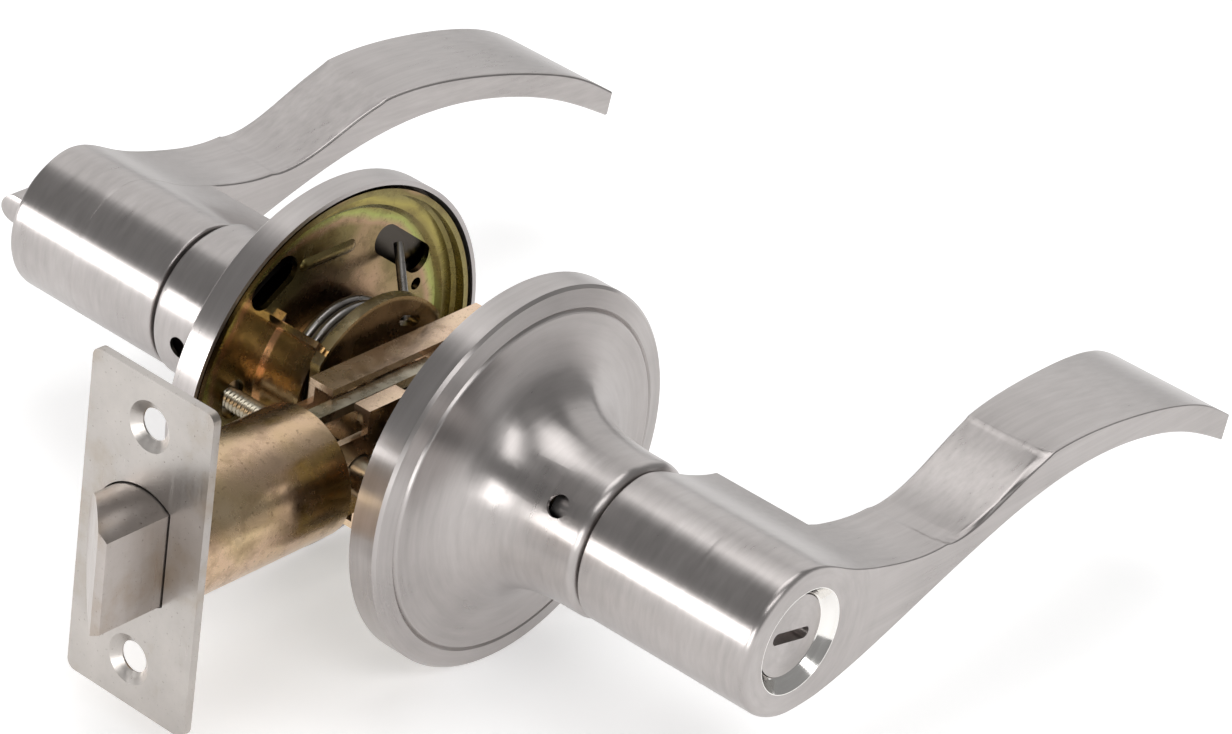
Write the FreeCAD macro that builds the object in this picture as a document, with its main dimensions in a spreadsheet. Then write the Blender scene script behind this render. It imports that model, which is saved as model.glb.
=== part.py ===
"""Tubular privacy lever set for an interior door.

Frame: millimetres, +Z up. Y is the spindle axis through the door, with the outside lever at -Y and
the inside lever at +Y. X is the latch axis, with the bolt pointing to -X and the levers to +X. The
origin is where the two axes cross, in the middle of the door.
"""
import FreeCAD
import Part
import math
import os
import re
import Sketcher

V = FreeCAD.Vector
X_AXIS = V(1, 0, 0)
Y_AXIS = V(0, 1, 0)
Z_AXIS = V(0, 0, 1)
OUTSIDE = -1
INSIDE = 1

DIMENSIONS = {
    "door_half": 17.6,
    "backset": 60.0,
    # rose and neck
    "rose_radius": 32.75,
    "rose_sheet": 0.8,
    "rim_depth": 5.2,
    "face_radius": 29.0,
    "face_height": 5.8,
    "neck_radius": 13.4,
    "lip_radius": 1.5,
    "neck_height": 28.1,
    "tool_hole_radius": 1.9,
    "tool_hole_depth": 21.6,
    # liner inside the rose
    "liner_radius": 31.2,
    "liner_sheet": 1.0,
    "liner_floor": 3.4,
    "liner_step": 27.0,
    "bearing_radius": 11.3,
    "bearing_bore": 9.68,
    "bearing_height": 17.0,
    "cage_radius": 15.3,
    "cage_sheet": 1.0,
    "cage_height": 9.6,
    "cage_window": 25.2,
    "fin_angle": 134.6,
    "fin_radius": 19.4,
    "fin_height": 11.5,
    # lever
    "hub_radius": 13.0,
    "hub_gap": 0.5,
    "lever_front": 61.8,
    "lever_length": 111.3,
    "lever_corner": 18.2,
    "root_width": 14.7,
    "tip_width": 23.3,
    "shank_radius": 11.35,
    "shank_bore": 9.65,
    "shank_height": 19.2,
    "lever_web": 12.0,
    # drive parts
    "sleeve_radius": 9.6,
    "sleeve_bore": 7.4,
    "sleeve_start": 6.8,
    "sleeve_height": 40.0,
    "plate_radius": 15.2,
    "cam_plate_radius": 16.8,
    "plate_sheet": 2.0,
    "coil_radius": 12.2,
    "wire_radius": 0.8,
    "coil_turns": 3.5,
    "coil_pitch": 1.95,
    "leg_bend": 1.8,
    "ring_radius": 11.3,
    "catch_radius": 1.4,
    "spindle_size": 7.6,
    "spindle_bore": 2.3,
    "bar_radius": 1.9,
    # posts and screws
    "post_x": 19.4,
    "post_radius": 3.2,
    "screw_radius": 1.9,
    "screw_head": 3.3,
    # release insert and turn button
    "mouth_radius": 9.0,
    "bushing_radius": 8.4,
    "bushing_bore": 7.05,
    "mouth_depth": 1.9,
    "insert_radius": 6.9,
    "slot_length": 8.8,
    "slot_width": 2.0,
    "slot_tilt": 12.0,
    "button_radius": 6.6,
    "button_height": 8.6,
    "button_grip": 5.0,
    # latch
    "plate_width": 25.4,
    "plate_height": 57.15,
    "plate_thick": 1.5,
    "plate_corner": 1.6,
    "hole_spacing": 41.3,
    "hole_radius": 2.6,
    "sink_radius": 4.2,
    "tube_radius": 11.0,
    "tube_wall": 0.8,
    "tube_end": 25.2,
    "bolt_radius": 9.8,
    "bolt_flat": 5.6,
    "bolt_throw": 12.7,
    "bolt_back": 47.0,
    "tail_sheet": 2.8,
    "tail_reach": 9.4,
    "tail_arm": 1.6,
    "case_half": 6.4,
    "case_sheet": 1.2,
    "case_height": 10.9,
    "case_start": 27.9,
    "neck_half": 7.0,
    "case_end": 19.4,
    "rivet_x": 17.4,
    "rivet_z": 7.8,
    "cam_radius": 7.6,
    "dog_radius": 7.4,
    "dog_width": 2.6,
}

doc = FreeCAD.newDocument("lever_set")
sheet = doc.addObject("Spreadsheet::Sheet", "dims")
for row, (alias, value) in enumerate(DIMENSIONS.items(), start=1):
    sheet.set(f"A{row}", alias)
    sheet.set(f"B{row}", str(value))
    sheet.setAlias(f"B{row}", alias)
doc.recompute()


# Expressions, placements and sketches


def bound(text):
    """An expression over the sheet: every plain word in it is the alias of a driving dimension."""
    return re.sub(r"\b[a-z][a-z_]*\b(?!\()", lambda word: "dims." + word.group(0), str(text))


def size(text):
    """The value of an expression over the sheet."""
    return float(sheet.evalExpression(bound(text)))


def bind(thing, field, text):
    """Sets one size of an object and ties it to the sheet."""
    thing.setExpression(field, bound(text))


def place(thing, position, direction=Z_AXIS):
    """Turns an object's own Z to a direction and ties its position."""
    turn = FreeCAD.Rotation(Z_AXIS, direction)
    thing.Placement = FreeCAD.Placement(V(*(size(p) for p in position)), turn)
    for axis, text in zip("xyz", position):
        bind(thing, f"Placement.Base.{axis}", text)
    return thing


def cylinder(name, radius, height, position, direction=Z_AXIS):
    shape = doc.addObject("Part::Cylinder", name)
    bind(shape, "Radius", radius)
    bind(shape, "Height", height)
    return place(shape, position, direction)


def cone(name, radius_low, radius_high, height, position, direction=Z_AXIS):
    shape = doc.addObject("Part::Cone", name)
    bind(shape, "Radius1", radius_low)
    bind(shape, "Radius2", radius_high)
    bind(shape, "Height", height)
    return place(shape, position, direction)


def box(name, length, width, height, position):
    """A box by its low corner."""
    shape = doc.addObject("Part::Box", name)
    bind(shape, "Length", length)
    bind(shape, "Width", width)
    bind(shape, "Height", height)
    return place(shape, position)


def fuse(name, shapes):
    joined = doc.addObject("Part::MultiFuse", name)
    joined.Shapes = shapes
    return joined


def cut(name, base, tools):
    """The base with every tool taken away."""
    tool = tools[0] if len(tools) == 1 else fuse(name + "_tools", tools)
    result = doc.addObject("Part::Cut", name)
    result.Base = base
    result.Tool = tool
    return result


def common(name, base, tool):
    result = doc.addObject("Part::Common", name)
    result.Base = base
    result.Tool = tool
    return result


def new_body(name):
    return doc.addObject("PartDesign::Body", name)


def new_sketch(body, name, role):
    """An empty sketch on one of the body's own origin planes."""
    plane = next(p for p in body.Origin.OriginFeatures if p.Role == role)
    sketch = body.newObject("Sketcher::SketchObject", name)
    sketch.AttachmentSupport = (plane, [""])
    sketch.MapMode = "FlatFace"
    return sketch


def outline(sketch, points):
    """A closed outline of straight lines, each corner tied to the sheet by its two distances."""
    spots = [V(size(u), size(v), 0) for u, v in points]
    lines = [Part.LineSegment(a, b) for a, b in zip(spots, spots[1:] + spots[:1])]
    sketch.addGeometry(lines, False)
    count = len(points)
    for i in range(count):
        sketch.addConstraint(Sketcher.Constraint("Coincident", i, 2, (i + 1) % count, 1))
    for i, (spot, texts) in enumerate(zip(spots, points)):
        for kind, value, text in zip(("DistanceX", "DistanceY"), spot, texts):
            number = sketch.addConstraint(Sketcher.Constraint(kind, -1, 1, i, 1, value))
            sketch.setExpression(f"Constraints[{number}]", bound(text))


def turned(name, points, axis="V_Axis"):
    """A body turned about Y from (radius, y) corners, or about X from (x, radius) corners."""
    body = new_body(name)
    sketch = new_sketch(body, name + "_profile", "XY_Plane")
    outline(sketch, points)
    revolve = body.newObject("PartDesign::Revolution", name + "_turned")
    revolve.Profile = sketch
    revolve.ReferenceAxis = (sketch, [axis])
    revolve.Angle = 360.0
    return body


def on_side(side, height):
    """The y of a height above the door's face on one side."""
    return f"{side} * (door_half + {height})"


def side_axis(side):
    return V(0, side, 0)


def spoke(angle):
    """The direction square to the spindle at an angle up from +X, in degrees."""
    turn = math.radians(angle)
    return V(math.cos(turn), 0, math.sin(turn))


NODES = {}


def node(name, shape):
    """Registers a finished sub-part under the name that its file takes."""
    shape.Label = name
    NODES[name] = shape
    return shape


# Roses and liners


def rose_section(side):
    """Half section of the rose: side band, bevelled rim, flat ring, groove, trumpet neck and rolled lip."""

    def spots(texts):
        return [V(size(u), size(on_side(side, v)), 0) for u, v in texts]

    def lines(points):
        return [Part.LineSegment(a, b) for a, b in zip(points, points[1:])]

    def smooth(points):
        curve = Part.BSplineCurve()
        curve.interpolate(points)
        return curve

    reach = "(face_radius - 0.6 - neck_radius)"
    rise = "(neck_height - lip_radius - face_height - 0.2)"
    steps = 12
    trumpet = []
    for i in range(steps + 1):
        inward = 1 - (1 - i / steps) ** 2.6
        upward = (i / steps) ** 1.9
        trumpet.append((f"face_radius - 0.6 - {reach} * {inward:.5f}",
                        f"face_height + 0.2 + {rise} * {upward:.5f}"))
    rim = [("rose_radius", "0"), ("rose_radius", "rim_depth - 0.5"), ("rose_radius - 0.5", "rim_depth"),
           ("face_radius + 0.35", "face_height"), ("face_radius", "face_height - 0.35"),
           ("face_radius - 0.35", "face_height + 0.1"), trumpet[0]]
    corner = ("neck_radius - lip_radius", "neck_height")
    lip = [trumpet[-1], ("neck_radius - lip_radius * 0.293", "neck_height - lip_radius * 0.293"), corner]
    inside = [(f"{u} - rose_sheet * 0.75", f"{v} - rose_sheet * 0.7") for u, v in reversed(trumpet[1:])]
    mouth = [corner, ("neck_radius - lip_radius", "neck_height - rose_sheet"), inside[0]]
    shell = [inside[-1], ("face_radius - 2.2", "face_height - rose_sheet"),
             ("rose_radius - rose_sheet", "face_height - rose_sheet - 0.6"),
             ("rose_radius - rose_sheet", "0"), ("rose_radius", "0")]
    return (lines(spots(rim)) + [smooth(spots(trumpet)), Part.Arc(*spots(lip))] + lines(spots(mouth))
            + [smooth(spots(inside))] + lines(spots(shell)))


def make_rose(name, side, hole_angle):
    body = new_body(name + "_shell")
    sketch = new_sketch(body, name + "_section", "XY_Plane")
    sketch.addGeometry(rose_section(side), False)
    revolve = body.newObject("PartDesign::Revolution", name + "_turned")
    revolve.Profile = sketch
    revolve.ReferenceAxis = (sketch, ["V_Axis"])
    revolve.Angle = 360.0
    hole = cylinder(name + "_tool_hole", "tool_hole_radius", "neck_radius * 2",
                    ("0", on_side(side, "tool_hole_depth"), "0"), spoke(hole_angle))
    node(name, cut(name, body, [hole]))


def slot_tool(name, centre, length, width, angle, y_low, depth):
    """An obround through hole along Y: two round ends and a bar between them."""
    turn = math.radians(angle)
    half = (length - width) / 2
    ends = []
    for end in (-1, 1):
        x = centre[0] + end * half * math.cos(turn)
        z = centre[1] + end * half * math.sin(turn)
        ends.append(cylinder(f"{name}_end_{end + 1}", width / 2, depth, (x, y_low, z), Y_AXIS))
    bar = doc.addObject("Part::Box", name + "_bar")
    bar.Length = 2 * half
    bar.Width = depth
    bar.Height = width
    spin = FreeCAD.Rotation(Y_AXIS, -angle)
    corner = spin.multVec(V(-half, 0, -width / 2)) + V(centre[0], size(y_low), centre[1])
    bar.Placement = FreeCAD.Placement(corner, spin)
    return fuse(name, ends + [bar])


def make_liner(name, side):
    """The zinc-plated dish that the rose snaps over, with the bearing tube for the drive sleeve."""
    profile = [
        ("liner_radius", "0.3"),
        ("liner_radius", "liner_floor - 0.6"),
        ("liner_radius - 0.9", "liner_floor + 0.2"),
        ("liner_step + 0.9", "liner_floor + 0.2"),
        ("liner_step", "liner_floor + liner_sheet"),
        ("bearing_radius", "liner_floor + liner_sheet"),
        ("bearing_radius", "bearing_height"),
        ("bearing_bore", "bearing_height"),
        ("bearing_bore", "liner_floor"),
        ("liner_step - 0.4", "liner_floor"),
        ("liner_step + 0.5", "liner_floor - 0.8"),
        ("liner_radius - 1.6", "liner_floor - 0.8"),
        ("liner_radius - liner_sheet", "liner_floor - 1.4"),
        ("liner_radius - liner_sheet", "0.3"),
    ]
    body = turned(name + "_dish", [(u, on_side(side, v)) for u, v in profile])
    low = on_side(side, "0") if side > 0 else on_side(side, "liner_floor + 3")
    tools = [cylinder(name + "_pin_hole", 1.1, 8, ("21.4", low, "6.8"), Y_AXIS)]
    for i, sign in enumerate((1, -1)):
        tools.append(slot_tool(f"{name}_leg_slot_{i}", (sign * 17.0, sign * 14.8), 15.5, 5.4, -37.0, low, 8))
        tools.append(slot_tool(f"{name}_vent_{i}", (sign * -12.4, sign * 18.6), 10.5, 5.6, 32.0, low, 8))
        if side == OUTSIDE:
            spot = (f"{sign} * post_x", low, "0")
            tools.append(cylinder(f"{name}_post_hole_{i}", "post_radius", 8, spot, Y_AXIS))
        else:
            spot = (sign * size("post_x"), 0)
            tools.append(slot_tool(f"{name}_screw_slot_{i}", spot, 7.0, 4.4, 90.0, low, 8))
    node(name, cut(name, body, tools))


def upright(name, turn, inner, outer, low, height, depth):
    """A flat block on a spoke at an angle: from an inner to an outer radius, and its depth to one side."""
    block = doc.addObject("Part::Box", name)
    block.Length = outer - inner
    block.Width = height
    block.Height = depth
    spin = FreeCAD.Rotation(Y_AXIS, -turn)
    block.Placement = FreeCAD.Placement(spin.multVec(V(inner, 0, 0)) + V(0, low, 0), spin)
    return block


def make_bracket(name, side):
    """The round spring cage on the liner, open above and below, with a stop fin at each opening."""
    floor = on_side(side, "liner_floor")

    def low(height):
        return floor if side < 0 else f"{floor} - {height}"

    shell = cylinder(name + "_shell", "cage_radius", "cage_height", ("0", low("cage_height"), "0"), Y_AXIS)
    flange = cylinder(name + "_flange", "cage_radius + 0.9", "cage_sheet",
                      ("0", low("cage_sheet"), "0"), Y_AXIS)
    bore = cylinder(name + "_bore", "cage_radius - cage_sheet", 40, ("0", f"{floor} - 20", "0"), Y_AXIS)
    windows = []
    fins = []
    for i in range(2):
        window = doc.addObject("Part::Box", f"{name}_window_{i}")
        window.Length = 30
        window.Width = 60
        window.Height = size("cage_window")
        spin = FreeCAD.Rotation(Y_AXIS, -77 - 180 * i)
        corner = spin.multVec(V(4, 0, -size("cage_window") / 2))
        window.Placement = FreeCAD.Placement(corner + V(0, size(floor) - 30, 0), spin)
        windows.append(window)
        turn = size("fin_angle") + 180 * i
        sheet_depth = size("cage_sheet")
        middle = size("fin_radius - 2.1")
        fins.append(upright(f"{name}_fin_foot_{i}", turn, size("cage_radius - 0.7"), middle,
                            size(low("cage_height")), size("cage_height"), sheet_depth))
        fins.append(upright(f"{name}_fin_{i}", turn, middle - 0.1, size("fin_radius"),
                            size(low("fin_height")), size("fin_height"), sheet_depth))
    cage = cut(name + "_cage", fuse(name + "_blank", [shell, flange]), [bore] + windows)
    node(name, fuse(name, [cage] + fins))


# Drive parts


def bend(start, heading, target, radius):
    """A round bend from one heading to another: the arc and the spot where it ends."""
    inward = (target - heading * target.dot(heading)).normalize()
    angle = heading.getAngle(target)

    def spot(turn):
        return start + heading * (radius * math.sin(turn)) + inward * (radius * (1 - math.cos(turn)))

    return Part.Arc(start, spot(angle / 2), spot(angle)).toShape(), spot(angle)


def leg(start, heading, level_angle, slope, length):
    """A spring leg: a bend off the coil, then a straight run at an angle and a slope. Ends first."""
    level = math.radians(level_angle)
    drop = math.radians(slope)
    target = V(math.cos(level) * math.cos(drop), math.sin(level) * math.cos(drop), -math.sin(drop))
    arc, corner = bend(start, heading, target, size("leg_bend"))
    return arc, Part.makeLine(corner, corner + target * length), target, corner + target * length


def make_spring(name, side):
    """The torsion spring about the drive sleeve, with both legs bent out to the slots in the liner."""
    wire = size("wire_radius")
    radius = size("coil_radius")
    turns = size("coil_turns")
    pitch = size("coil_pitch")
    rise = pitch / (2 * math.pi)
    helix = Part.makeHelix(pitch, pitch * turns, radius)
    end_angle = 2 * math.pi * turns
    end = V(radius * math.cos(end_angle), radius * math.sin(end_angle), pitch * turns)
    tangent = V(-radius * math.sin(end_angle), radius * math.cos(end_angle), rise).normalize()
    first, run_in, heading, tip = leg(V(radius, 0, 0), V(0, -radius, -rise).normalize(), 10.0, 7.0, 9.0)
    last, run_out, _, _ = leg(end, tangent, -157.2, 40.0, 12.5)
    path = Part.Wire(Part.__sortEdges__([run_in, first] + helix.Edges + [last, run_out]))
    section = Part.Wire([Part.makeCircle(wire, tip, heading)])
    shape = path.makePipeShell([section], True, True)
    if side < 0:
        shape = shape.mirror(V(0, 0, 0), Z_AXIS)
    spring = doc.addObject("Part::Feature", name)
    spring.Shape = shape
    lift = size(on_side(side, "liner_floor - 2.2"))
    turn = FreeCAD.Rotation(X_AXIS, 90).multiply(FreeCAD.Rotation(Z_AXIS, 212))
    spring.Placement = FreeCAD.Placement(V(0, lift, 0), turn)
    node(name, spring)


def make_drive_plate(name, side):
    """The round cam plate on the door end of the drive sleeve, with its two drive windows."""
    low = on_side(side, "-sleeve_start - plate_sheet") if side > 0 else on_side(side, "-sleeve_start")
    radius = "cam_plate_radius" if side > 0 else "plate_radius"
    disc = cylinder(name + "_disc", radius, "plate_sheet", ("0", low, "0"), Y_AXIS)
    bore = cylinder(name + "_bore", "sleeve_radius + 0.02", 6, ("0", f"{low} - 2", "0"), Y_AXIS)
    windows = [slot_tool(f"{name}_window_{i}", (x, z), 5, 1.8, tilt, f"{low} - 2", 6)
               for i, (x, z, tilt) in enumerate(((6.5, 11.0, -20), (-6.5, -11.0, -20)))]
    flats = [box(f"{name}_flat_{i}", 8, 6, 40, (x, f"{low} - 2", "-20")) for i, x in enumerate((13.6, -21.6))]
    node(name, cut(name, disc, [bore] + windows + flats))


def make_sleeve(name, side, catch_angle):
    """The drive sleeve: it turns in the liner's bearing and carries the lever."""
    base = on_side(side, "-sleeve_start - plate_sheet")
    tube = cylinder(name + "_tube", "sleeve_radius", "sleeve_start + plate_sheet + sleeve_height",
                    ("0", base, "0"), side_axis(side))
    bore = cylinder(name + "_bore", "sleeve_bore", "sleeve_height",
                    ("0", on_side(side, "2"), "0"), side_axis(side))
    square = box(name + "_square", "spindle_size + 0.3", 60, "spindle_size + 0.3",
                 ("-(spindle_size + 0.3) / 2", f"{on_side(side, '10')} - 30", "-(spindle_size + 0.3) / 2"))
    direction = spoke(catch_angle)
    hole = cylinder(name + "_catch_hole", "catch_radius + 0.1", 14,
                    ("0", on_side(side, "tool_hole_depth"), "0"), direction)
    groove = cylinder(name + "_groove", "sleeve_radius + 1", 1.1,
                      ("0", on_side(side, "bearing_height + 0.1"), "0"), side_axis(side))
    core = cylinder(name + "_groove_core", "sleeve_radius - 0.7", 1.1,
                    ("0", on_side(side, "bearing_height + 0.1"), "0"), side_axis(side))
    ring = cut(name + "_groove_ring", groove, [core])
    node(name, cut(name, tube, [bore, square, hole, ring]))


def make_retaining_ring(name, side):
    """The open ring in the sleeve's groove that holds the sleeve in the bearing."""
    start = ("0", on_side(side, "bearing_height + 0.15"), "0")
    ring = cylinder(name + "_disc", "ring_radius", 1.0, start, side_axis(side))
    bore = cylinder(name + "_bore", "sleeve_radius - 0.68", 1.0, start, side_axis(side))
    gap = box(name + "_gap", 7, 30, 14, ("-3.5", f"{on_side(side, 'bearing_height')} - 15", "-14"))
    node(name, cut(name, ring, [bore, gap]))


def make_catch(name, side, catch_angle):
    """The sprung pin behind the tool hole that holds the lever's shank."""
    direction = spoke(catch_angle)
    start = direction * 6.7
    pin = cylinder(name + "_pin", "catch_radius", 4.5,
                   (start.x, on_side(side, "tool_hole_depth"), start.z), direction)
    foot_start = direction * 6.15
    foot = cylinder(name + "_foot", 2.1, 0.75,
                    (foot_start.x, on_side(side, "tool_hole_depth"), foot_start.z), direction)
    node(name, fuse(name, [pin, foot]))


# Levers

WAVE_TOP = [(9.6, 9.1), (20.0, 5.5), (29.0, 3.6), (38.0, 3.7), (46.0, 6.0), (55.0, 9.3), (66.5, 10.4),
            (80.0, 9.1), (93.5, 6.3), (104.0, 2.5)]
WAVE_LOW = [(98.4, -0.4), (86.0, 3.2), (72.0, 4.6), (60.0, 3.6), (46.5, 0.3), (31.5, -4.7), (17.0, -9.7)]
TIP_TOP = (111.3, -1.9)
TIP_LOW = (110.4, -6.4)


def wave_outline(sketch):
    """Front view of the lever: round hub, a dip, a crest for the palm and a drooping tip."""
    radius = size("hub_radius")
    leave = math.radians(100)
    join = math.radians(-88)
    top_start = V(radius * math.cos(leave), radius * math.sin(leave), 0)
    low_end = V(radius * math.cos(join), radius * math.sin(join), 0)
    top = Part.BSplineCurve()
    top.interpolate([top_start] + [V(*p, 0) for p in WAVE_TOP] + [V(*TIP_TOP, 0)])
    low = Part.BSplineCurve()
    low.interpolate([V(*TIP_LOW, 0)] + [V(*p, 0) for p in WAVE_LOW] + [low_end])
    hub = Part.Arc(low_end, V(-radius, 0, 0), top_start)
    sketch.addGeometry([hub, top, Part.LineSegment(V(*TIP_TOP, 0), V(*TIP_LOW, 0)), low], False)


def make_lever(name, side):
    """A cast lever: the wave outline over the hub's length, with the grip narrowed towards the door."""
    body = new_body(name + "_casting")
    profile = new_sketch(body, name + "_outline", "XZ_Plane")
    wave_outline(profile)
    foot = "door_half + neck_height + hub_gap"
    length = "lever_front - neck_height - hub_gap"
    profile.setExpression("AttachmentOffset.Base.z", bound(f"{-side} * ({foot})"))
    pad = body.newObject("PartDesign::Pad", name + "_pad")
    pad.Profile = profile
    bind(pad, "Length", length)
    pad.Reversed = side > 0
    plan = new_sketch(body, name + "_plan", "XY_Plane")
    corner = size("lever_corner")
    end = size("lever_length") + 6
    front = size("door_half + lever_front")
    door_end = size(foot) - 1
    root = front - size("root_width")
    tip = front - size("tip_width")
    edge = [(corner, root), (44.0, root - 0.35), (62.0, root - 1.6), (80.0, root - 3.7),
            (96.0, root - 6.2), (end, tip - 0.4)]
    back = Part.BSplineCurve()
    back.interpolate([V(u, side * v, 0) for u, v in edge])
    corners = [(end, tip - 0.4), (end, door_end), (corner, door_end), (corner, root)]
    spots = [V(u, side * v, 0) for u, v in corners]
    plan.addGeometry([back] + [Part.LineSegment(a, b) for a, b in zip(spots, spots[1:])], False)
    pocket = body.newObject("PartDesign::Pocket", name + "_narrowing")
    pocket.Profile = plan
    pocket.Length = 80
    pocket.Midplane = True
    doc.recompute()
    before = pad.Shape.Volume
    if not pocket.Shape.Volume < before - 100:
        raise RuntimeError(name + ": the plan cut removed nothing")
    shank = cylinder(name + "_shank", "shank_radius", "neck_height - shank_height + 1",
                     ("0", on_side(side, "shank_height"), "0"), side_axis(side))
    blank = fuse(name + "_blank", [body, shank])
    bore = cylinder(name + "_bore", "shank_bore", "lever_front - shank_height - lever_web",
                    ("0", on_side(side, "shank_height - 0.5"), "0"), side_axis(side))
    nose = cylinder(name + "_nose_bore", "bushing_radius", 20,
                    ("0", on_side(side, "lever_front - 8"), "0"), side_axis(side))
    through = cylinder(name + "_bar_hole", 5.6, 60, ("0", on_side(side, "20"), "0"), side_axis(side))
    return blank, [bore, nose, through]


def catch_hole(name, side, angle):
    return cylinder(name, "catch_radius + 0.12", 14,
                    ("0", on_side(side, "tool_hole_depth"), "0"), spoke(angle))


def make_outside_lever(catch_angle):
    blank, tools = make_lever("outside_lever", OUTSIDE)
    mouth = cone("outside_lever_mouth", "mouth_radius", "bushing_radius", "mouth_radius - bushing_radius",
                 ("0", on_side(OUTSIDE, "lever_front"), "0"), side_axis(INSIDE))
    tools += [mouth, catch_hole("outside_lever_catch_hole", OUTSIDE, catch_angle)]
    node("outside_lever", cut("outside_lever", blank, tools))


def make_inside_lever(catch_angle):
    blank, tools = make_lever("inside_lever", INSIDE)
    tools.append(catch_hole("inside_lever_catch_hole", INSIDE, catch_angle))
    node("inside_lever", cut("inside_lever", blank, tools))


def make_release():
    """The outside lever's polished bushing and the release insert with its coin slot."""
    profile = [
        ("mouth_radius - 0.15", "lever_front"),
        ("bushing_bore + 0.25", "lever_front - mouth_depth"),
        ("bushing_bore", "lever_front - mouth_depth - 0.2"),
        ("bushing_bore", "lever_front - 7.6"),
        ("bushing_radius", "lever_front - 7.6"),
        ("bushing_radius", "lever_front - mouth_radius + bushing_radius"),
        ("mouth_radius", "lever_front"),
    ]
    node("release_bushing", turned("release_bushing", [(u, on_side(OUTSIDE, v)) for u, v in profile]))
    face = "lever_front - mouth_depth"
    disc = cylinder("release_disc", "insert_radius", 5.2, ("0", on_side(OUTSIDE, face), "0"), Y_AXIS)
    stem = cylinder("release_stem", 2.5, 14, ("0", on_side(OUTSIDE, f"{face} - 5"), "0"), Y_AXIS)
    socket = cylinder("release_socket", "bar_radius + 0.05", 10,
                      ("0", on_side(OUTSIDE, f"{face} - 9.5"), "0"), Y_AXIS)
    slot = slot_tool("release_slot", (0, 0), size("slot_length"), size("slot_width"), -size("slot_tilt"),
                     f"{on_side(OUTSIDE, face)} - 1", 3.4)
    node("release_insert", cut("release_insert", fuse("release_blank", [disc, stem]), [socket, slot]))


def make_turn_button():
    """The inside lever's bushing and the turn button with its grip bar."""
    profile = [
        ("bushing_bore", "lever_front + 0.6"),
        ("bushing_bore", "lever_front - 7.6"),
        ("bushing_radius", "lever_front - 7.6"),
        ("bushing_radius", "lever_front + 0.6"),
    ]
    node("button_bushing", turned("button_bushing", [(u, on_side(INSIDE, v)) for u, v in profile]))
    disc = cylinder("button_disc", "button_radius", 6,
                    ("0", on_side(INSIDE, "lever_front - 4.5"), "0"), Y_AXIS)
    stem = cylinder("button_stem", 2.5, 12, ("0", on_side(INSIDE, "lever_front - 16"), "0"), Y_AXIS)
    round_grip = cylinder("button_round", "button_radius", "button_height",
                          ("0", on_side(INSIDE, "lever_front"), "0"), Y_AXIS)
    slab = box("button_slab", "button_radius * 2", "button_height - button_grip / 2", "button_grip",
               ("-button_radius", on_side(INSIDE, "lever_front"), "-button_grip / 2"))
    crest_y = on_side(INSIDE, "lever_front + button_height - button_grip / 2")
    crest = cylinder("button_crest", "button_grip / 2", "button_radius * 2",
                     ("-button_radius", crest_y, "0"), X_AXIS)
    grip = common("button_grip_bar", round_grip, fuse("button_grip_blank", [slab, crest]))
    socket = cylinder("button_socket", "bar_radius + 0.05", 10,
                      ("0", on_side(INSIDE, "lever_front - 17"), "0"), Y_AXIS)
    node("turn_button", cut("turn_button", fuse("button_blank", [disc, stem, grip]), [socket]))


def make_spindle():
    """The square spindle through both levers and the cam, and the locking bar inside it."""
    half = "(door_half + 15)"
    bar = box("spindle_bar", "spindle_size", f"{half} * 2", "spindle_size",
              ("-spindle_size / 2", f"-{half}", "-spindle_size / 2"))
    bore = cylinder("spindle_hole", "spindle_bore", f"{half} * 2 + 2", ("0", f"-{half} - 1", "0"), Y_AXIS)
    node("spindle", cut("spindle", bar, [bore]))
    low = on_side(OUTSIDE, "lever_front - mouth_depth - 9.6")
    length = "door_half * 2 + lever_front * 2 - mouth_depth - 9.6 - 7.1"
    node("locking_bar", cylinder("locking_bar", "bar_radius", length, ("0", low, "0"), Y_AXIS))


def make_posts():
    """Two threaded posts fixed to the outside liner, and the two screws that enter them."""
    spots = (("post_x", "0"), ("-post_x", "0"))
    posts = []
    screws = []
    start = on_side(OUTSIDE, "liner_floor + liner_sheet")
    for i, (x, z) in enumerate(spots):
        shaft = cylinder(f"post_{i}", "post_radius", "door_half * 2 - 5", (x, start, z), Y_AXIS)
        hole = cylinder(f"post_hole_{i}", "screw_radius + 0.05", "door_half * 2", (x, "-6", z), Y_AXIS)
        posts.append(cut(f"post_bored_{i}", shaft, [hole]))
        shank = cylinder(f"screw_shank_{i}", "screw_radius", "door_half + liner_floor + liner_sheet + 4.6",
                         (x, "-4.5", z), Y_AXIS)
        seat = "liner_floor + liner_sheet"
        washer = cylinder(f"screw_washer_{i}", 4.6, 0.5, (x, on_side(INSIDE, seat), z), Y_AXIS)
        head = cylinder(f"screw_head_{i}", "screw_head", 0.7,
                        (x, on_side(INSIDE, seat + " + 0.5"), z), Y_AXIS)
        screws.append(fuse(f"screw_{i}", [shank, washer, head]))
    node("mounting_posts", fuse("mounting_posts", posts))
    node("mounting_screws", fuse("mounting_screws", screws))


# Latch


def bolt_window(name, extra, start, length):
    """The bolt's round section with its flat, grown by a clearance."""
    disc = cylinder(name + "_disc", f"bolt_radius + {extra}", length, (start, "0", "0"), X_AXIS)
    flat = box(name + "_flat", f"{length} + 2", 20, 40, (f"{start} - 1", f"-bolt_flat - {extra} - 20", "-20"))
    return cut(name, disc, [flat])


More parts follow.
